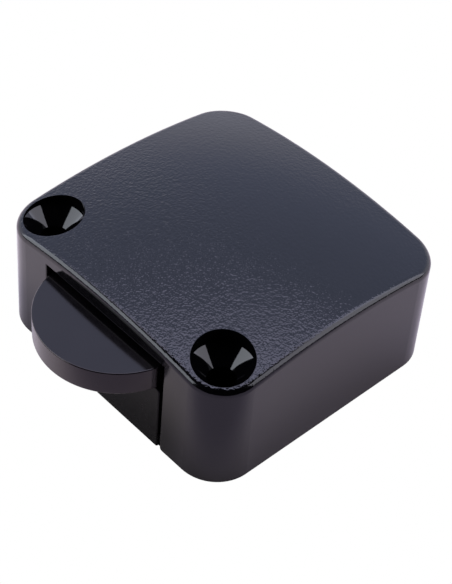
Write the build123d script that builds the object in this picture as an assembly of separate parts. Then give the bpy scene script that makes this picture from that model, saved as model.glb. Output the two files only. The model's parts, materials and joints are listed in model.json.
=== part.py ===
from build123d import *

import os
from math import radians, tan

# Surface-mounted door light switch. All sizes are in millimetres.
# Origin: centre of the mounting face. +Z up, the plunger points to -Y.

# Housing, outside
WIDTH = 40.0
DEPTH = 37.8
CORNER_R = 5.35
CROWN_TOP = 18.5         # height at the middle of the crowned top
CROWN_R = 103.0          # spherical radius of the crowned top
DRAFT = 0.4              # mould draft of the walls, degrees
TOP_EDGE_R = 1.0
WALL = 1.6
FRONT = -DEPTH / 2
REAR = DEPTH / 2

# Mounting holes at the front corners
HOLE_X = 15.15
HOLE_Y = -14.05
HOLE_R = 1.75            # shank of a 3.5 mm screw
HOLE_MOUTH_R = 3.75
HOLE_SEAT_Z = 15.0       # where the countersink starts
HOLE_CONE = 90.0         # included angle of the countersink
BOSS_R = 4.4

# Plunger head and the slot that it comes out of
HEAD_R = 10.05
HEAD_Y = -16.57          # centre of the half-moon
HEAD_BOTTOM = 10.2
HEAD_TOP = 13.55
HEAD_EDGE = 0.16
SLOT_HALF = 10.62
SLOT_TOP = 14.28
SLOT_DEPTH = WALL + 0.6
SLOT_EDGE = 0.2
SLOT_FOOT_R = 0.5

# Ribs under the crown that hold the plunger head down
HOLD_X = 7.2
HOLD_THICK = 1.0
HOLD_FRONT = -12.5
HOLD_BACK = 3.0
HOLD_GAP = 0.12

# Base plate
FLOOR = 2.0
ROOT = 0.5               # how far a rib or wall reaches into what it stands on
BASE_GAP = 0.15          # between the base plate and the cover's walls
PANEL_HALF = 10.05
PANEL_TOP = 9.75
PANEL_THICK = 1.7
PANEL_FRONT = FRONT + 0.1
PANEL_BACK = PANEL_FRONT + PANEL_THICK
PANEL_CORNER = 0.5
PANEL_EDGE = 0.2
FOOT_RECESS = 0.3        # of the foot beside the panel, behind the panel's face
TAB_RECESS = 0.05

# Carriage behind the plunger head
SLIDE_GAP = 0.1          # play under the keel and in front of the apron
APRON_HALF = 9.6
APRON_THICK = 1.6
HEAD_BACK = -7.0
EAR_IN = 8.6
EAR_OUT = 13.6
EAR_THICK = 1.6
EAR_BOTTOM = 3.6
DECK_HALF = 7.5
DECK_TOP = 12.4
POST_HALF = 2.6
POST_FRONT = -7.0
POST_BACK = 2.6
WINDOW_FRONT = -5.42
WINDOW_BACK = 1.0
WINDOW_BOTTOM = 4.4
WINDOW_TOP = 9.0

# Guide ribs beside the keel
GUIDE_THICK = 0.8
GUIDE_FRONT = -8.4
GUIDE_BACK = 9.6
GUIDE_TOP = 4.2

# Contacts
CONTACT_X = 6.0
CONTACT_Z = 6.7
STRIP_THICK = 0.8
STRIP_HALF = 2.1         # half the strip's width
STRIP_BEND_R = 0.9
PLATE_FRONT = -6.4       # front face of the fixed contact plates
PLATE_TOP = 9.2
BUTTON_R = 1.5
BUTTON_H = 0.6
BUTTON_EDGE = 0.2
BUTTON_GAP = 0.02
SHANK_R = 0.75
SHANK_GAP = 0.05
UPSET_R = 1.15
UPSET_H = 0.3
BRIDGE_HALF = 7.9
BRIDGE_H = 4.2
BRIDGE_CORNER = 1.2

# Rivets that hold the strips on the base plate
RIVET_Y = 3.0
RIVET_R = 1.0
RIVET_BORE_R = 0.55
RIVET_HEAD_R = 1.9
RIVET_UPSET_R = 1.7
RIVET_HEAD_H = 0.5
RIVET_UPSET_H = 0.4
RIVET_SUNK = 0.3         # of the head's face, above the mounting face
RIVET_PLAY = 0.05
RIVET_HEAD_PLAY = 0.2

# Springs
RETURN_X = 11.2
RETURN_Z = 6.4
RETURN_R = 2.025         # mean coil radius
RETURN_WIRE = 0.35
RETURN_TURNS = 9
CONTACT_SPRING_R = 1.5
CONTACT_WIRE = 0.3
CONTACT_TURNS = 5
COIL_GAP = 0.03          # between a coil's end and its seat

# Spring seats
SEAT_Y = 9.2             # front face of the seats on the base plate
SEAT_HALF = 2.2
SEAT_THICK = 1.4
SEAT_TOP = 9.2
SEAT_CORNER = 0.8
SEAT_PIP_R = 1.6
SEAT_PIP = 1.6           # how far the pip reaches into the spring
EAR_PIP = 1.5
CONTACT_PIP_R = 1.1
CONTACT_PIP = 1.0
BRIDGE_PIP_R = 1.0
BRIDGE_PIP = 0.5

# Terminals
BLOCK_X = 7.55
BLOCK_Y = 13.6
BLOCK_WIDE = 4.7
BLOCK_LONG = 5.2
BLOCK_TALL = 6.2
BLOCK_EDGE = 0.25
BLOCK_STUD_R = 1.1
WIRE_HOLE_R = 1.25
WIRE_HOLE_UP = 2.4       # above the block's foot
CLAMP_HOLE_R = 1.3
CLAMP_SHANK_R = 1.25
CLAMP_HEAD_R = 2.2
CLAMP_HEAD_H = 1.8
CLAMP_EDGE = 0.3
CLAMP_OPEN = 0.5         # gap under the head, as the screw is backed out
CLAMP_REACH = 3.2        # of the shank, below the head
CLAMP_SLOT = 0.7
CLAMP_SLOT_DEPTH = 0.9
KEEPER_GAP = 0.2         # between a terminal block and the wall beside it
KEEPER_THICK = 1.1
KEEPER_FRONT = 10.8
KEEPER_BACK = 16.8
KEEPER_TOP = 6.8

# Screws that hold the rear of the cover
REAR_X = 15.2
REAR_Y = 13.9
REAR_BOSS_R = 3.4
REAR_HOLE_R = 1.3
REAR_HOLE_TOP = 10.5
REAR_SHANK_R = 1.25
REAR_SHANK_TOP = 8.6
REAR_TIP_R = 0.2
REAR_TIP_TOP = 9.8
REAR_HEAD_R = 2.5
REAR_HEAD_Z = 0.2        # the head's face, above the mounting face
REAR_HEAD_TOP = 1.3
REAR_PLAY = 0.2
CROSS_LONG = 2.6
CROSS_WIDE = 0.6
CROSS_DEEP = 0.9

# Cable inlet in the rear wall
INLET_HALF = 3.2
INLET_TOP = 7.0
INLET_CORNER = 1.0

SIDES = (-1, 1)
LAP = 1.0                # how far a cutting tool or a joined piece runs past a face


def block(x0, x1, y0, y1, z0, z1):
    """A box between two opposite corners, given in any order."""
    size = Box(abs(x1 - x0), abs(y1 - y0), abs(z1 - z0))
    return Pos((x0 + x1) / 2, (y0 + y1) / 2, (z0 + z1) / 2) * size


def rod(x, y, z0, z1, radius):
    """An upright cylinder from z0 to z1."""
    return Pos(x, y, (z0 + z1) / 2) * Cylinder(radius, z1 - z0)


def rod_y(x, z, y0, y1, radius):
    """A cylinder along Y from y0 to y1."""
    return Pos(x, (y0 + y1) / 2, z) * Rot(90, 0, 0) * Cylinder(radius, y1 - y0)


def cone(x, y, z0, r0, z1, r1):
    """An upright cone frustum with radius r0 at z0 and r1 at z1."""
    return Pos(x, y, (z0 + z1) / 2) * Cone(r0, r1, z1 - z0)


def crowned(inset):
    """Rounded block with drafted walls under the spherical crown, inset all round and on top."""
    plan = RectangleRounded(WIDTH - 2 * inset, DEPTH - 2 * inset, CORNER_R - inset)
    prism = extrude(plan, amount=CROWN_TOP + LAP, taper=DRAFT)
    crown = Pos(0, 0, CROWN_TOP - CROWN_R) * Rot(90, 0, 0) * Sphere(CROWN_R - inset)
    return prism & crown


def screw_recess(side):
    """Mouth, countersink and bore of one mounting hole."""
    x = side * HOLE_X
    depth = (HOLE_MOUTH_R - HOLE_R) / tan(radians(HOLE_CONE / 2))
    mouth = rod(x, HOLE_Y, HOLE_SEAT_Z, CROWN_TOP + LAP, HOLE_MOUTH_R)
    sink = cone(x, HOLE_Y, HOLE_SEAT_Z - depth, HOLE_R, HOLE_SEAT_Z, HOLE_MOUTH_R)
    bore = rod(x, HOLE_Y, -LAP, HOLE_SEAT_Z - depth + 0.1, HOLE_R)
    return mouth + sink + bore


def cable_inlet():
    """Rounded notch in the rear wall, open at the bottom."""
    notch = block(-INLET_HALF, INLET_HALF, REAR - 2 * WALL, REAR + LAP, -LAP, INLET_TOP)
    corners = notch.edges().filter_by(Axis.Y).sort_by(Axis.Z)[-2:]
    return fillet(corners, INLET_CORNER)


def plunger_slot(shell):
    """Cut the plunger's notch in the front wall, with rounded feet and a broken rim."""
    shell -= block(-SLOT_HALF, SLOT_HALF, FRONT - LAP, FRONT + SLOT_DEPTH, -LAP, SLOT_TOP)
    ends = shell.edges().filter_by(Axis.Y).group_by(Axis.Z)[0]
    shell = fillet([edge for edge in ends if at_slot_side(edge)], SLOT_FOOT_R)
    front_wall = shell.faces().sort_by(Axis.Y)[0]
    rim = [edge for edge in front_wall.edges() if at_slot_side(edge) or at_slot_top(edge)]
    return fillet(rim, SLOT_EDGE)


def at_slot_side(edge):
    return abs(abs(edge.center().X) - SLOT_HALF) < SLOT_FOOT_R / 2


def at_slot_top(edge):
    return abs(edge.center().X) < SLOT_HALF and abs(edge.center().Z - SLOT_TOP) < SLOT_EDGE


def cover_shell():
    outer = crowned(0)
    rim = outer.faces().filter_by(GeomType.SPHERE)[0].edges()
    outer = fillet(rim, TOP_EDGE_R)
    cavity = crowned(WALL)
    posts = Part()
    for side in SIDES:
        posts += rod(side * HOLE_X, HOLE_Y, FLOOR, CROWN_TOP, BOSS_R)
        posts += rod(side * REAR_X, REAR_Y, FLOOR, CROWN_TOP, REAR_BOSS_R)
        posts += hold_down_rib(side)
    shell = plunger_slot(outer - (cavity - posts))
    shell -= cable_inlet()
    for side in SIDES:
        shell -= screw_recess(side)
        shell -= rod(side * REAR_X, REAR_Y, -LAP, REAR_HOLE_TOP, REAR_HOLE_R)
    return shell


def hold_down_rib(side):
    """Rib under the crown, just above the plunger head."""
    x0 = side * HOLD_X - HOLD_THICK / 2
    return block(x0, x0 + HOLD_THICK, HOLD_FRONT, HOLD_BACK, HEAD_TOP + HOLD_GAP, CROWN_TOP)


def base_plate():
    inset = WALL + BASE_GAP
    plan = RectangleRounded(WIDTH - 2 * inset, DEPTH - 2 * inset, CORNER_R - inset)
    base = extrude(plan, amount=FLOOR) + front_panel()
    # tab that closes the foot of the cable inlet
    tab = INLET_HALF - BASE_GAP
    base += block(-tab, tab, REAR - inset - LAP, REAR - TAB_RECESS, 0, FLOOR)
    for side in SIDES:
        base += guide_rib(side) + spring_seat(side) + keeper(side)
        base -= rod(side * HOLE_X, HOLE_Y, -LAP, FLOOR + LAP, HOLE_R)
        base -= cover_screw_hole(side)
        base -= rivet_hole(side)
    return base


def front_panel():
    """Panel that closes the slot below the plunger, on a foot that fills the slot's width."""
    panel = block(-PANEL_HALF, PANEL_HALF, PANEL_FRONT, PANEL_BACK, 0, PANEL_TOP)
    top_corners = panel.edges().filter_by(Axis.Y).sort_by(Axis.Z)[-2:]
    panel = fillet(top_corners, PANEL_CORNER)
    face = panel.faces().sort_by(Axis.Y)[0]
    panel = fillet([edge for edge in face.edges() if edge.center().Z > ROOT], PANEL_EDGE)
    foot = SLOT_HALF - HOLD_GAP
    return panel + block(-foot, foot, PANEL_FRONT + FOOT_RECESS, PANEL_BACK + LAP, 0, FLOOR)


def guide_rib(side):
    """Low rib beside the plunger's keel."""
    inner = side * (POST_HALF + BASE_GAP)
    return block(inner, inner + side * GUIDE_THICK, GUIDE_FRONT, GUIDE_BACK, FLOOR - ROOT, GUIDE_TOP)


def spring_seat(side):
    """Upright wall behind a return spring, with a locating pip."""
    x = side * RETURN_X
    wall = block(x - SEAT_HALF, x + SEAT_HALF, SEAT_Y, SEAT_Y + SEAT_THICK, FLOOR - ROOT, SEAT_TOP)
    top_corners = wall.edges().filter_by(Axis.Y).sort_by(Axis.Z)[-2:]
    pip = rod_y(x, RETURN_Z, SEAT_Y - SEAT_PIP, SEAT_Y + ROOT, SEAT_PIP_R)
    return fillet(top_corners, SEAT_CORNER) + pip


def keeper(side):
    """Wall on the outer side of a terminal block, which keeps it from turning."""
    inner = side * (BLOCK_X + BLOCK_WIDE / 2 + KEEPER_GAP)
    return block(inner, inner + side * KEEPER_THICK, KEEPER_FRONT, KEEPER_BACK, FLOOR - ROOT, KEEPER_TOP)


def cover_screw_hole(side):
    """Clearance hole and countersink for a cover screw, from below."""
    x = side * REAR_X
    hole_r = REAR_SHANK_R + REAR_PLAY
    hole = rod(x, REAR_Y, -LAP, FLOOR + LAP, hole_r)
    sink_r = REAR_HEAD_R + 1.5 * REAR_PLAY
    return hole + cone(x, REAR_Y, 0, sink_r, sink_r - hole_r, hole_r)


def rivet_hole(side):
    """Hole for a strip rivet, sunk from below for its head."""
    x = side * CONTACT_X
    sunk = RIVET_SUNK + RIVET_HEAD_H
    hole = rod(x, RIVET_Y, -LAP, FLOOR + LAP, RIVET_R + RIVET_PLAY)
    return hole + rod(x, RIVET_Y, -LAP, sunk, RIVET_HEAD_R + RIVET_HEAD_PLAY)


def plunger():
    foot = FLOOR + SLIDE_GAP
    shelf = HEAD_BOTTOM + LAP
    front = PANEL_BACK + SLIDE_GAP
    body = plunger_head()
    body += block(-APRON_HALF, APRON_HALF, front, front + APRON_THICK, foot, shelf)
    body += block(-DECK_HALF, DECK_HALF, HEAD_BACK - LAP, POST_BACK, HEAD_BOTTOM, DECK_TOP)
    body += block(-POST_HALF, POST_HALF, POST_FRONT, POST_BACK, foot, shelf)
    reach = POST_HALF + LAP
    body -= block(-reach, reach, WINDOW_FRONT, WINDOW_BACK, WINDOW_BOTTOM, WINDOW_TOP)
    body += rod_y(0, CONTACT_Z, WINDOW_BACK - CONTACT_PIP, WINDOW_BACK + ROOT, CONTACT_PIP_R)
    for side in SIDES:
        body += spring_ear(side)
    return body


def plunger_head():
    """Half-moon that the door pushes, with a straight tongue behind it."""
    half_moon = Pos(0, HEAD_Y) * Circle(HEAD_R)
    tongue = Pos(0, (HEAD_Y + HEAD_BACK) / 2) * Rectangle(2 * HEAD_R, HEAD_BACK - HEAD_Y)
    head = Pos(0, 0, HEAD_BOTTOM) * extrude(half_moon + tongue, amount=HEAD_TOP - HEAD_BOTTOM)
    levels = head.edges().group_by(Axis.Z)
    return fillet(levels[0] + levels[-1], HEAD_EDGE)


def spring_ear(side):
    """Arm that hangs beside the contacts and pushes a return spring."""
    ear = block(side * EAR_IN, side * EAR_OUT, HEAD_BACK - EAR_THICK, HEAD_BACK, EAR_BOTTOM, DECK_TOP)
    return ear + rod_y(side * RETURN_X, RETURN_Z, HEAD_BACK - ROOT, HEAD_BACK + EAR_PIP, SEAT_PIP_R)


def coil_y(x, z, y0, y1, radius, wire, turns):
    """Coil spring along Y that fills the space between two flat seats."""
    margin = wire / 2 + COIL_GAP
    rise = y1 - y0 - 2 * margin
    path = Helix(pitch=rise / turns, height=rise, radius=radius)
    section = Plane(origin=path @ 0, z_dir=path % 0) * Circle(wire / 2)
    coil = sweep(section, path, is_frenet=True)
    return Pos(x, y0 + margin, z) * Rot(-90, 0, 0) * coil


def return_spring(side):
    return coil_y(side * RETURN_X, RETURN_Z, HEAD_BACK, SEAT_Y, RETURN_R, RETURN_WIRE, RETURN_TURNS)


def contact_spring():
    return coil_y(0, CONTACT_Z, bridge_back(), WINDOW_BACK, CONTACT_SPRING_R, CONTACT_WIRE, CONTACT_TURNS)


def bridge_front():
    """Front face of the moving bridge when the contacts are closed."""
    return PLATE_FRONT + STRIP_THICK + 2 * BUTTON_H + BUTTON_GAP


def bridge_back():
    return bridge_front() + STRIP_THICK


def contact_bridge():
    """Bar that joins the two fixed contacts, with a pip for its spring."""
    plan = RectangleRounded(2 * BRIDGE_HALF, BRIDGE_H, BRIDGE_CORNER)
    bar = Pos(0, bridge_back(), CONTACT_Z) * Rot(90, 0, 0) * extrude(plan, amount=STRIP_THICK)
    bar += rod_y(0, CONTACT_Z, bridge_back() - STRIP_THICK / 2, bridge_back() + BRIDGE_PIP, BRIDGE_PIP_R)
    for side in SIDES:
        bar -= shank_hole(side * CONTACT_X, bridge_front(), bridge_back())
    return bar


def shank_hole(x, y0, y1):
    """Hole for a contact button's shank through a strip between y0 and y1."""
    return rod_y(x, CONTACT_Z, y0 - LAP, y1 + LAP, SHANK_R + SHANK_GAP)


def contact_button(x, seat, facing):
    """Silver contact rivet along Y: its face points to facing (-1 or 1) from the strip's face at seat."""
    tip = seat + facing * BUTTON_H
    back = seat - facing * STRIP_THICK
    end = back - facing * UPSET_H
    head = rod_y(x, CONTACT_Z, min(seat, tip), max(seat, tip), BUTTON_R)
    rims = head.edges().sort_by(Axis.Y)
    head = fillet(rims[-1] if facing > 0 else rims[0], BUTTON_EDGE)
    middle = (seat + tip) / 2
    shank = rod_y(x, CONTACT_Z, min(middle, end), max(middle, end), SHANK_R)
    upset = rod_y(x, CONTACT_Z, min(back, end), max(back, end), UPSET_R)
    return head + shank + upset


def bridge_button(side):
    return contact_button(side * CONTACT_X, bridge_front(), -1)


def fixed_button(side):
    return contact_button(side * CONTACT_X, PLATE_FRONT + STRIP_THICK, 1)


def fixed_contact(side):
    """Strip bent up at the front into a contact plate, and widened at the rear under the terminal."""
    middle = STRIP_THICK / 2
    plate = PLATE_FRONT + middle
    level = FLOOR + middle
    top = FLOOR + STRIP_THICK
    tail = BLOCK_Y + BLOCK_LONG / 2
    line = FilletPolyline((plate, PLATE_TOP), (plate, level), (tail, level), radius=STRIP_BEND_R)
    profile = Plane.YZ * trace(line, line_width=STRIP_THICK)
    strip = Pos(CONTACT_X - STRIP_HALF, 0, 0) * extrude(profile, amount=2 * STRIP_HALF, dir=(1, 0, 0))
    edge = BLOCK_X - BLOCK_WIDE / 2
    strip += block(edge, edge + BLOCK_WIDE, BLOCK_Y - BLOCK_LONG / 2, tail, FLOOR, top)
    strip -= rod(CONTACT_X, RIVET_Y, 0, top + LAP, RIVET_R + RIVET_PLAY)
    strip -= rod(BLOCK_X, BLOCK_Y, 0, top + LAP, BLOCK_STUD_R + RIVET_PLAY)
    strip -= shank_hole(CONTACT_X, PLATE_FRONT, PLATE_FRONT + STRIP_THICK)
    return strip if side > 0 else mirror(strip, about=Plane.YZ)


def strip_rivet(side):
    """Tubular rivet through the strip and the base plate."""
    x = side * CONTACT_X
    seat = FLOOR + STRIP_THICK
    top = seat + RIVET_UPSET_H
    rivet = rod(x, RIVET_Y, RIVET_SUNK, top, RIVET_R)
    rivet += rod(x, RIVET_Y, RIVET_SUNK, RIVET_SUNK + RIVET_HEAD_H, RIVET_HEAD_R)
    rivet += rod(x, RIVET_Y, seat, top, RIVET_UPSET_R)
    return rivet - rod(x, RIVET_Y, -LAP, top + LAP, RIVET_BORE_R)


def terminal_block(side):
    """Brass block with a cross hole for the wire and a hole from above for the clamp screw."""
    low = FLOOR + STRIP_THICK
    x0 = BLOCK_X - BLOCK_WIDE / 2
    y0 = BLOCK_Y - BLOCK_LONG / 2
    body = block(x0, x0 + BLOCK_WIDE, y0, y0 + BLOCK_LONG, low, low + BLOCK_TALL)
    body = chamfer(body.edges(), BLOCK_EDGE)
    body += rod(BLOCK_X, BLOCK_Y, FLOOR + BUTTON_GAP, low + ROOT, BLOCK_STUD_R)
    wire_z = low + WIRE_HOLE_UP
    body -= Pos(BLOCK_X, BLOCK_Y, wire_z) * Rot(0, 90, 0) * Cylinder(WIRE_HOLE_R, BLOCK_WIDE + LAP)
    body -= rod(BLOCK_X, BLOCK_Y, wire_z, low + BLOCK_TALL + LAP, CLAMP_HOLE_R)
    return body if side > 0 else mirror(body, about=Plane.YZ)


def terminal_screw(side):
    """Slotted clamp screw, backed out a little."""
    x = side * BLOCK_X
    seat = FLOOR + STRIP_THICK + BLOCK_TALL + CLAMP_OPEN
    top = seat + CLAMP_HEAD_H
    head = rod(x, BLOCK_Y, seat, top, CLAMP_HEAD_R)
    head = fillet(head.edges().sort_by(Axis.Z)[-1], CLAMP_EDGE)
    head += rod(x, BLOCK_Y, seat - CLAMP_REACH, seat + BLOCK_EDGE, CLAMP_SHANK_R)
    slot = Box(2 * CLAMP_HEAD_R + LAP, CLAMP_SLOT, 2 * CLAMP_SLOT_DEPTH)
    return head - Pos(x, BLOCK_Y, top) * slot


def cover_screw(side):
    """Countersunk cross-slot screw, driven from below into the cover's rear boss."""
    x = side * REAR_X
    screw = cone(x, REAR_Y, REAR_HEAD_Z, REAR_HEAD_R, REAR_HEAD_TOP, REAR_SHANK_R)
    screw += rod(x, REAR_Y, REAR_HEAD_TOP - COIL_GAP, REAR_SHANK_TOP, REAR_SHANK_R)
    screw += cone(x, REAR_Y, REAR_SHANK_TOP, REAR_SHANK_R, REAR_TIP_TOP, REAR_TIP_R)
    for turn in (0, 90):
        screw -= Pos(x, REAR_Y, REAR_HEAD_Z) * Rot(0, 0, turn) * Box(CROSS_LONG, CROSS_WIDE, 2 * CROSS_DEEP)
    return screw


def save(part, name):
    part.label = name
    export_step(part, os.path.join("parts", name + ".step"))


def main():
    os.makedirs("parts", exist_ok=True)
    save(cover_shell(), "cover_shell")
    save(base_plate(), "base_plate")
    save(plunger(), "plunger")
    save(contact_bridge(), "contact_bridge")
    save(contact_spring(), "contact_spring")
    for side, name in ((-1, "left"), (1, "right")):
        save(return_spring(side), "return_spring_" + name)
        save(bridge_button(side), "bridge_button_" + name)
        save(fixed_button(side), "fixed_button_" + name)
        save(fixed_contact(side), "fixed_contact_" + name)
        save(strip_rivet(side), "strip_rivet_" + name)
        save(terminal_block(side), "terminal_block_" + name)
        save(terminal_screw(side), "terminal_screw_" + name)
        save(cover_screw(side), "cover_screw_" + name)


main()
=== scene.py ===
import json
import math

import bpy
from mathutils import Matrix, Vector


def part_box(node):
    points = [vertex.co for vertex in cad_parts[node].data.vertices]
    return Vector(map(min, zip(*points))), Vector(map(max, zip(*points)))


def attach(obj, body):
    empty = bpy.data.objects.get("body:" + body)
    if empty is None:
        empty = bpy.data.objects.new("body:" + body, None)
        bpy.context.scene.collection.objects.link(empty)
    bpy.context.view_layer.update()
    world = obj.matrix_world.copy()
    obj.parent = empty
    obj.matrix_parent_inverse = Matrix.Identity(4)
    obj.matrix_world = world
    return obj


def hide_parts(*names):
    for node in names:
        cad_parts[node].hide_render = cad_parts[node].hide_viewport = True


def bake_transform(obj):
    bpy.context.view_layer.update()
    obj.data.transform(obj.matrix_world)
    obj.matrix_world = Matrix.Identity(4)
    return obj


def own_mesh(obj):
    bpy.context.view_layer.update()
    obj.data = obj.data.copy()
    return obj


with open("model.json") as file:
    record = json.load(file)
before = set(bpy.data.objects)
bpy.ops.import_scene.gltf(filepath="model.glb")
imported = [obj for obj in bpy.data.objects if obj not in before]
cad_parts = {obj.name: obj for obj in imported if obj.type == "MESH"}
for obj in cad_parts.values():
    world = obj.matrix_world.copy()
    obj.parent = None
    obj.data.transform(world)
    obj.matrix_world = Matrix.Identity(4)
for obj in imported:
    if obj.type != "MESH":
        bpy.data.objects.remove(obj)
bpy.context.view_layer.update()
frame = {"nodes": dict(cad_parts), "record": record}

# Looks of the surface-mounted door light switch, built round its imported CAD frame.
# Lengths are in metres.

MM = 0.001

# Camera: direction and roll in degrees, the rest in millimetres
CAMERA_AZIMUTH = 43.97
CAMERA_ELEVATION = 44.52
CAMERA_ROLL = 4.98
CAMERA_DISTANCE = 197.9
CAMERA_AIM_Z = 7.4
CAMERA_SLIDE = (0.735, -0.829)
LENS = 98.11
SENSOR_WIDTH = 36.0

# Shape of the cover, where the material changes with the place. The grain ends within CROWN_SKIN below
# the crown's sphere, so it stays off the rounded edge.
CROWN_R = 103 * MM
CROWN_SKIN = 0.05 * MM
MOUTH_R = 3.75 * MM

# Finish of the cover. The grain gets shallower towards the rear, over the stretch GRAIN_FADE in Y.
CROWN_ROUGHNESS = 0.10
WALL_ROUGHNESS = 0.12
RECESS_ROUGHNESS = 0.05
GRAIN_DEPTH = 0.100 * MM
GRAIN_SCALE = 2400.0
FINE_GRAIN_SCALE = 4800.0
GRAIN_FADE = (-6 * MM, 8 * MM)
REAR_GRAIN = 0.35
WALL_RELIEF = 0.012 * MM
PLASTIC_WEAR_WIDTH = 0.2 * MM
METAL_WEAR_WIDTH = 0.12 * MM

# Backdrop: pale low down, darker and bluer from BACKDROP_TURN (elevations in degrees) upwards. It fades out
# sideways between two values of the cosine of the azimuth, which is -1 straight behind the object.
LOW_BACKDROP = (0.62, 0.63, 0.77)
HIGH_BACKDROP = (0.44, 0.49, 0.71)
BACKDROP_TURN = (16, 32)
BACKDROP_STRENGTH = 1.7
BACKDROP_FADE = (-0.32, -0.06)

# Floor: its color, and its darker color towards the camera, which is painted shade. It glows faintly, which
# is painted light, less to the right, and not at the foot of the housing, where the missing glow is painted
# shade. FOOT_STRETCH starts at the housing's walls, the others at the object's centre.
FLOOR_TINT = (0.95, 0.83, 0.79)
SHADED_TINT = (0.55, 0.47, 0.50)
SHADE_STRETCH = (20 * MM, 34 * MM)
FLOOR_GLOW = 0.30
RIGHT_GLOW = 0.3 * FLOOR_GLOW
GLOW_STRETCH = (-10 * MM, 10 * MM)
FOOT_STRETCH = (1 * MM, 8 * MM)
FLOOR_LEVEL = -0.02 * MM
FLOOR_REACH = 1.5

# Coil springs. Their ends and outer radius come from the plain springs in CAD.
RETURN_WIRE = 0.35 * MM
RETURN_TURNS = 9
CONTACT_WIRE = 0.30 * MM
CONTACT_TURNS = 5
CLOSED_TURNS = 0.9


def named(entries, name):
    """The entry of the record that has the given name."""
    return next(entry for entry in entries if entry["name"] == name)


# ---------------------------------------------------------------- node helpers

class Tree:
    """Adds shader nodes to one material or world."""

    def __init__(self, tree):
        self.tree = tree
        tree.nodes.clear()

    def add(self, kind, **settings):
        node = self.tree.nodes.new(kind)
        for name, value in settings.items():
            setattr(node, name, value)
        return node

    def feed(self, socket, value):
        if isinstance(value, bpy.types.NodeSocket):
            self.tree.links.new(value, socket)
        else:
            socket.default_value = value

    def math(self, operation, *values):
        node = self.add("ShaderNodeMath", operation=operation)
        for socket, value in zip(node.inputs, values):
            self.feed(socket, value)
        return node.outputs[0]

    def vector(self, operation, *values, result=0):
        node = self.add("ShaderNodeVectorMath", operation=operation)
        for socket, value in zip(node.inputs, values):
            self.feed(socket, value)
        return node.outputs[result]

    def parts(self, vector):
        node = self.add("ShaderNodeSeparateXYZ")
        self.feed(node.inputs[0], vector)
        return node.outputs

    def flat(self, x, y):
        """The vector (x, y, 0)."""
        node = self.add("ShaderNodeCombineXYZ")
        self.feed(node.inputs["X"], x)
        self.feed(node.inputs["Y"], y)
        return node.outputs[0]

    def noise(self, place, scale, detail=4.0, roughness=0.55):
        node = self.add("ShaderNodeTexNoise")
        self.feed(node.inputs["Vector"], place)
        node.inputs["Scale"].default_value = scale
        node.inputs["Detail"].default_value = detail
        node.inputs["Roughness"].default_value = roughness
        return node.outputs["Fac"]

    def ramp(self, value, low, high, to_low, to_high):
        node = self.add("ShaderNodeMapRange", interpolation_type="SMOOTHSTEP")
        for socket, entry in zip(node.inputs, (value, low, high, to_low, to_high)):
            self.feed(socket, entry)
        return node.outputs["Result"]

    def mix(self, factor, a, b):
        """A color between a and b."""
        node = self.add("ShaderNodeMixRGB")
        for socket, entry in zip(node.inputs, (factor, a, b)):
            if isinstance(entry, tuple):
                entry = (*entry, 1)
            self.feed(socket, entry)
        return node.outputs[0]

    def blend(self, factor, a, b):
        """A number between a and b."""
        node = self.add("ShaderNodeMix", data_type="FLOAT")
        for socket, entry in zip((node.inputs[0], node.inputs[2], node.inputs[3]), (factor, a, b)):
            self.feed(socket, entry)
        return node.outputs[0]


def shade(name):
    """Start a material: the material, its tree, its Principled shader and the place on the object."""
    made = bpy.data.materials.new(name)
    made.use_nodes = True
    tree = Tree(made.node_tree)
    shader = tree.add("ShaderNodeBsdfPrincipled")
    output = tree.add("ShaderNodeOutputMaterial")
    tree.feed(output.inputs["Surface"], shader.outputs["BSDF"])
    place = tree.add("ShaderNodeTexCoord").outputs["Object"]
    return made, tree, shader, place


def bump(tree, shader, height, depth):
    """Height is counted in units of the given depth."""
    node = tree.add("ShaderNodeBump")
    tree.feed(node.inputs["Height"], height)
    node.inputs["Strength"].default_value = 1.0
    node.inputs["Distance"].default_value = depth
    tree.feed(shader.inputs["Normal"], node.outputs["Normal"])


def edge_wear(tree, radius):
    """1 on sharp outer edges, where handling polishes them, and 0 elsewhere."""
    rounded = tree.add("ShaderNodeBevel", samples=4)
    rounded.inputs["Radius"].default_value = radius
    true = tree.add("ShaderNodeNewGeometry").outputs["Normal"]
    turn = tree.vector("DOT_PRODUCT", rounded.outputs[0], true, result="Value")
    return tree.ramp(turn, 0.80, 0.99, 1.0, 0.0)


def plastic_color(tree, shader, place, dark, light, worn_color):
    """Faint mottling between two shades, paler where edges are worn."""
    mottling = tree.ramp(tree.noise(place, 240.0, 3.0), 0.35, 0.65, 0.0, 1.0)
    plain = tree.mix(mottling, dark, light)
    worn = tree.math("MULTIPLY", edge_wear(tree, PLASTIC_WEAR_WIDTH), 0.5)
    tree.feed(shader.inputs["Base Color"], tree.mix(worn, plain, worn_color))


# ---------------------------------------------------------------- materials

def on_crown(tree, place):
    """1 on the crowned top of the cover and 0 on its walls."""
    centre = (0, 0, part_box("cover_shell")[1][2] - CROWN_R)
    from_centre = tree.vector("DISTANCE", place, centre, result="Value")
    return tree.ramp(from_centre, CROWN_R - CROWN_SKIN, CROWN_R - 0.3 * CROWN_SKIN, 0.0, 1.0)


def in_screw_recess(tree, place):
    """1 inside the two countersunk screw recesses and 0 elsewhere."""
    holes = named(frame["record"]["mounts"], "mounting_holes")
    spacing = holes["dims"]["spacing_x_mm"] * MM
    spot = tree.parts(place)
    side = tree.math("SUBTRACT", tree.math("ABSOLUTE", spot["X"]), spacing / 2)
    ahead = tree.math("SUBTRACT", spot["Y"], holes["pos_m"][1])
    from_axis = tree.vector("LENGTH", tree.flat(side, ahead), result="Value")
    return tree.ramp(from_axis, MOUTH_R + 0.02 * MM, MOUTH_R + 0.06 * MM, 1.0, 0.0)


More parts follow.
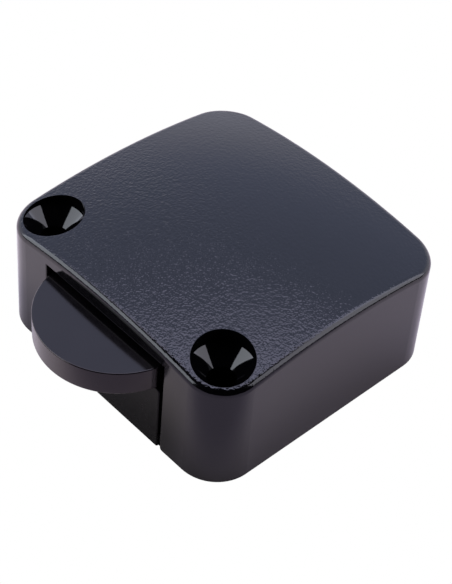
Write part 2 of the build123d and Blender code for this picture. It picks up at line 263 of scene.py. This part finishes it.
def cover_plastic():
    """Black moulded plastic: spark-eroded grain on the crown, smoother walls, polished countersinks."""
    made, tree, shader, place = shade("cover_black_abs")
    crown = on_crown(tree, place)
    recess = in_screw_recess(tree, place)
    open_face = tree.math("SUBTRACT", 1.0, recess)
    plastic_color(tree, shader, place,
                  (0.0012, 0.0012, 0.0014), (0.0020, 0.0019, 0.0022), (0.004, 0.004, 0.004))

    cloud = tree.ramp(tree.noise(place, 700.0, 4.0), 0.3, 0.7, -0.03, 0.03)
    satin = tree.blend(recess, tree.blend(crown, WALL_ROUGHNESS, CROWN_ROUGHNESS), RECESS_ROUGHNESS)
    tree.feed(shader.inputs["Roughness"], tree.math("ADD", satin, tree.math("MULTIPLY", cloud, open_face)))

    grain = tree.blend(0.25, tree.noise(place, GRAIN_SCALE, 1.0), tree.noise(place, FINE_GRAIN_SCALE, 1.0))
    share = tree.ramp(tree.parts(place)["Y"], *GRAIN_FADE, 1.0, REAR_GRAIN)
    grain = tree.math("MULTIPLY", tree.math("SUBTRACT", grain, 0.5), share)
    flow = tree.blend(0.5, tree.noise(place, 900.0, 3.0), tree.noise(place, 3600.0, 2.0))
    flow = tree.math("MULTIPLY", tree.math("SUBTRACT", flow, 0.5), WALL_RELIEF / GRAIN_DEPTH)
    relief = tree.blend(crown, flow, grain)
    bump(tree, shader, tree.math("MULTIPLY", relief, open_face), GRAIN_DEPTH)
    return made


def smooth_plastic(name, dark, light, roughness, relief, specular, tint=(1.0, 1.0, 1.0)):
    """Black moulded plastic with faint flow marks and slightly uneven gloss."""
    made, tree, shader, place = shade(name)
    shader.inputs["Specular IOR Level"].default_value = specular
    shader.inputs["Specular Tint"].default_value = (*tint, 1)
    plastic_color(tree, shader, place, dark, light, (0.006, 0.006, 0.006))
    cloud = tree.noise(place, 620.0, 5.0, 0.6)
    tree.feed(shader.inputs["Roughness"], tree.ramp(cloud, 0.3, 0.7, roughness * 0.85, roughness * 1.15))
    marks = tree.blend(0.3, tree.noise(place, 1100.0, 3.0), tree.noise(place, 5200.0, 3.0))
    bump(tree, shader, marks, relief)
    return made


def metal(name, color, stain, roughness, relief):
    """Bare metal with stains, uneven gloss, fine drawing marks and brighter edges."""
    made, tree, shader, place = shade(name)
    shader.inputs["Metallic"].default_value = 1.0
    patches = tree.ramp(tree.noise(place, 520.0, 5.0), 0.35, 0.7, 0.0, 1.0)
    tone = tree.mix(patches, color, stain)
    bright = tuple(min(1.0, 1.15 * part) for part in color)
    tree.feed(shader.inputs["Base Color"], tree.mix(edge_wear(tree, METAL_WEAR_WIDTH), tone, bright))
    marks = tree.noise(tree.vector("MULTIPLY", place, (1.0, 0.12, 1.0)), 5200.0, 4.0)
    tree.feed(shader.inputs["Roughness"], tree.ramp(marks, 0.3, 0.7, roughness * 0.7, roughness * 1.4))
    bump(tree, shader, marks, relief)
    return made


def make_materials():
    """One material for each of the record's slots."""
    return {
        "cover_plastic": cover_plastic(),
        "base_plastic": smooth_plastic("base_black_abs", (0.0024, 0.0024, 0.0024), (0.0036, 0.0036, 0.0034),
                                       0.30, 0.004 * MM, 0.13),
        "plunger_plastic": smooth_plastic("plunger_black_acetal", (0.0016, 0.0013, 0.0016),
                                          (0.0028, 0.0023, 0.0026), 0.12, 0.0015 * MM, 0.58,
                                          (1.0, 0.90, 0.86)),
        "brass": metal("bare_brass", (0.72, 0.50, 0.22), (0.50, 0.33, 0.14), 0.28, 0.003 * MM),
        "silver": metal("contact_silver", (0.80, 0.79, 0.76), (0.60, 0.58, 0.54), 0.22, 0.002 * MM),
        "spring_steel": metal("spring_steel", (0.46, 0.46, 0.47), (0.30, 0.30, 0.31), 0.25, 0.001 * MM),
        "plated_steel": metal("zinc_plate", (0.64, 0.66, 0.68), (0.46, 0.47, 0.48), 0.30, 0.003 * MM),
    }


def dress_nodes(finishes):
    for part in frame["record"]["subparts"]:
        slots = frame["nodes"][part["node"]].data.materials
        slots.clear()
        slots.append(finishes[part["material_slot"]])


# ---------------------------------------------------------------- springs

def coil(name, x, z, y0, y1, outer, wire, turns, finish):
    """Compression spring along Y with closed, ground ends, as a closed tube mesh."""
    sides = 12
    steps = 36
    radius = outer - wire / 2
    total = turns + 2 * CLOSED_TURNS
    low = y0 + wire / 2
    high = y1 - wire / 2
    free = high - low - 2 * CLOSED_TURNS * wire

    def height(turn):
        if turn < CLOSED_TURNS:
            return low + turn * wire
        if turn > total - CLOSED_TURNS:
            return high - (total - turn) * wire
        return low + CLOSED_TURNS * wire + free * (turn - CLOSED_TURNS) / turns

    points = []
    count = int(total * steps) + 1
    for i in range(count):
        turn = total * i / (count - 1)
        angle = 2 * math.pi * turn
        points.append(Vector((x + radius * math.cos(angle), height(turn), z + radius * math.sin(angle))))
    corners = []
    for i, point in enumerate(points):
        along = (points[min(i + 1, count - 1)] - points[max(i - 1, 0)]).normalized()
        out = (point - Vector((x, point.y, z))).normalized()
        across = along.cross(out).normalized()
        out = across.cross(along)
        for k in range(sides):
            angle = 2 * math.pi * k / sides
            corners.append(point + (out * math.cos(angle) + across * math.sin(angle)) * wire / 2)
    faces = []
    for i in range(count - 1):
        for k in range(sides):
            a = i * sides + k
            b = i * sides + (k + 1) % sides
            faces.append((a, a + sides, b + sides, b))
    faces.append(tuple(range(sides)))
    faces.append(tuple(reversed(range((count - 1) * sides, count * sides))))
    mesh = bpy.data.meshes.new(name)
    mesh.from_pydata(corners, [], faces)
    mesh.polygons.foreach_set("use_smooth", [len(face) == 4 for face in faces])
    mesh.materials.append(finish)
    piece = bpy.data.objects.new(name, mesh)
    bpy.context.scene.collection.objects.link(piece)
    return piece


def middle_and_ends(node):
    """Centre in X and Z, both ends in Y and the outer radius of a spring node."""
    low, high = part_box(node)
    return (low[0] + high[0]) / 2, (low[2] + high[2]) / 2, low[1], high[1], (high[0] - low[0]) / 2


def return_springs(finish):
    """Coils in place of the plain return springs, between the plunger's ears and the seats on the base
    plate, fixed to the housing.
    """
    turns = RETURN_TURNS - 2 * CLOSED_TURNS
    for side in ("left", "right"):
        node = "return_spring_" + side
        x, z, y0, y1, outer = middle_and_ends(node)
        piece = coil("return_coil_" + side, x, z, y0, y1, outer, RETURN_WIRE, turns, finish)
        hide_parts(node)
        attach(piece, "housing")
        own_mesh(piece)


def contact_spring(finish):
    """Coil in place of the plain contact spring, between the plunger and the moving bridge, which it
    presses away from the plunger.
    """
    x, z, y0, y1, outer = middle_and_ends("contact_spring")
    turns = CONTACT_TURNS - 2 * CLOSED_TURNS
    piece = coil("contact_coil", x, z, y0, y1, outer, CONTACT_WIRE, turns, finish)
    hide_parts("contact_spring")
    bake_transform(piece)


# ---------------------------------------------------------------- stage

def direction(azimuth, elevation):
    """Unit vector from the object. Azimuth 0 is towards its front and 90 towards +X."""
    a = math.radians(azimuth)
    e = math.radians(elevation)
    return Vector((math.sin(a) * math.cos(e), -math.cos(a) * math.cos(e), math.sin(e)))


def beyond_painted_foot_shade(tree, place):
    """0 on the floor at the foot of the housing, and 1 a few millimetres away from it: painted shade that
    takes the glow away at the foot.
    """
    low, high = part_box("cover_shell")
    spot = tree.parts(place)
    past = [tree.math("MAXIMUM", tree.math("SUBTRACT", tree.math("ABSOLUTE", spot[axis]), high[axis]), 0.0)
            for axis in (0, 1)]
    away = tree.vector("LENGTH", tree.flat(*past), result="Value")
    return tree.ramp(away, *FOOT_STRETCH, 0.0, 1.0)


def floor():
    """White paper: plain white to the camera and clear from below; for reflections tinted, with painted
    shade and a painted glow.
    """
    mesh = bpy.data.meshes.new("floor")
    sides = ((-1, -1), (1, -1), (1, 1), (-1, 1))
    corners = [(x * FLOOR_REACH, y * FLOOR_REACH, FLOOR_LEVEL) for x, y in sides]
    mesh.from_pydata(corners, [], [(0, 1, 2, 3)])
    ground = bpy.data.objects.new("floor", mesh)
    bpy.context.scene.collection.objects.link(ground)
    made = bpy.data.materials.new("floor_white")
    made.use_nodes = True
    tree = Tree(made.node_tree)
    place = tree.add("ShaderNodeTexCoord").outputs["Object"]
    forward = tree.vector("DOT_PRODUCT", place, direction(CAMERA_AZIMUTH, 0.0), result="Value")
    rightward = tree.vector("DOT_PRODUCT", place, direction(CAMERA_AZIMUTH + 90, 0.0), result="Value")
    # Painted shade: the paper's tint gets darker towards the camera.
    shaded = tree.ramp(forward, *SHADE_STRETCH, 0.0, 1.0)
    tint = tree.mix(shaded, FLOOR_TINT, SHADED_TINT)
    paper = tree.add("ShaderNodeBsdfDiffuse")
    tree.feed(paper.inputs["Color"], tint)
    # Painted light: the paper glows for reflections though it is no lamp, less to the right.
    glow = tree.add("ShaderNodeEmission")
    tree.feed(glow.inputs["Color"], tint)
    strength = tree.ramp(rightward, *GLOW_STRETCH, FLOOR_GLOW, RIGHT_GLOW)
    strength = tree.math("MULTIPLY", strength, tree.math("SUBTRACT", 1.0, shaded))
    # Painted shade: no glow at the foot of the housing.
    tree.feed(glow.inputs["Strength"], tree.math("MULTIPLY", strength, beyond_painted_foot_shade(tree, place)))
    lit = tree.add("ShaderNodeAddShader")
    tree.feed(lit.inputs[0], paper.outputs[0])
    tree.feed(lit.inputs[1], glow.outputs[0])
    white = tree.add("ShaderNodeEmission")
    seen = tree.add("ShaderNodeLightPath").outputs["Is Camera Ray"]
    either = tree.add("ShaderNodeMixShader")
    tree.feed(either.inputs[0], seen)
    tree.feed(either.inputs[1], lit.outputs[0])
    tree.feed(either.inputs[2], white.outputs[0])
    from_above = tree.add("ShaderNodeMixShader")
    tree.feed(from_above.inputs[0], tree.add("ShaderNodeNewGeometry").outputs["Backfacing"])
    tree.feed(from_above.inputs[1], either.outputs[0])
    tree.feed(from_above.inputs[2], tree.add("ShaderNodeBsdfTransparent").outputs[0])
    output = tree.add("ShaderNodeOutputMaterial")
    tree.feed(output.inputs["Surface"], from_above.outputs[0])
    mesh.materials.append(made)


def softbox(name, azimuth, elevation, distance, width, height, radiance, color):
    """Softbox that faces the object. Azimuth is counted from the camera, positive to its right."""
    light = bpy.data.lights.new(name, "AREA")
    light.shape = "RECTANGLE"
    light.size = width
    light.size_y = height
    light.color = color
    light.energy = radiance * math.pi * width * height
    lamp = bpy.data.objects.new(name, light)
    bpy.context.scene.collection.objects.link(lamp)
    aim = direction(CAMERA_AZIMUTH + azimuth, elevation)
    lamp.location = aim * distance
    lamp.rotation_mode = "QUATERNION"
    lamp.rotation_quaternion = aim.to_track_quat("Z", "Y")


def backdrop(tree, rise):
    """Color of the backdrop, given the sine of the elevation."""
    start, end = (math.sin(math.radians(elevation)) for elevation in BACKDROP_TURN)
    return tree.mix(tree.ramp(rise, start, end, 0.0, 1.0), LOW_BACKDROP, HIGH_BACKDROP)


def studio():
    """Pale backdrop behind the object, darkness behind the camera, and the softboxes."""
    world = bpy.data.worlds.new("studio")
    bpy.context.scene.world = world
    world.use_nodes = True
    tree = Tree(world.node_tree)
    way = tree.parts(tree.add("ShaderNodeTexCoord").outputs["Generated"])
    heading = tree.vector("NORMALIZE", tree.flat(way["X"], way["Y"]))
    towards = tree.vector("DOT_PRODUCT", heading, direction(CAMERA_AZIMUTH, 0.0), result="Value")
    back = tree.add("ShaderNodeBackground")
    tree.feed(back.inputs["Color"], backdrop(tree, way["Z"]))
    tree.feed(back.inputs["Strength"], tree.ramp(towards, *BACKDROP_FADE, BACKDROP_STRENGTH, 0.0))
    clean = tree.add("ShaderNodeBackground")
    clean.inputs["Color"].default_value = (1, 1, 1, 1)
    seen = tree.add("ShaderNodeLightPath").outputs["Is Camera Ray"]
    either = tree.add("ShaderNodeMixShader")
    tree.feed(either.inputs[0], seen)
    tree.feed(either.inputs[1], back.outputs[0])
    tree.feed(either.inputs[2], clean.outputs[0])
    output = tree.add("ShaderNodeOutputWorld")
    tree.feed(output.inputs["Surface"], either.outputs[0])
    softbox("softbox_right", azimuth=86, elevation=30, distance=0.6, width=0.42, height=0.44,
            radiance=2.6, color=(0.88, 0.87, 1.0))
    softbox("softbox_left", azimuth=-80, elevation=24, distance=0.6, width=0.54, height=0.33,
            radiance=3.7, color=(0.85, 0.90, 1.0))
    softbox("softbox_top", azimuth=186, elevation=80, distance=0.7, width=1.24, height=0.28,
            radiance=2.4, color=(0.76, 0.74, 1.0))


def camera():
    data = bpy.data.cameras.new("camera")
    data.lens = LENS
    data.sensor_width = SENSOR_WIDTH
    data.clip_start = 0.01
    data.clip_end = 10.0
    eye = bpy.data.objects.new("camera", data)
    bpy.context.scene.collection.objects.link(eye)
    back = direction(CAMERA_AZIMUTH, CAMERA_ELEVATION)
    level = Vector((0, 0, 1)).cross(back).normalized()
    upright = back.cross(level)
    roll = math.radians(CAMERA_ROLL)
    right = math.cos(roll) * level + math.sin(roll) * upright
    up = math.cos(roll) * upright - math.sin(roll) * level
    place = back * CAMERA_DISTANCE + right * CAMERA_SLIDE[0] + up * CAMERA_SLIDE[1]
    place = (place + Vector((0, 0, CAMERA_AIM_Z))) * MM
    eye.matrix_world = Matrix.Translation(place) @ Matrix((right, up, back)).transposed().to_4x4()
    bpy.context.scene.camera = eye


finishes = make_materials()
dress_nodes(finishes)
return_springs(finishes["spring_steel"])
contact_spring(finishes["spring_steel"])
floor()
studio()
camera()
bpy.context.scene.view_settings.view_transform = "Standard"
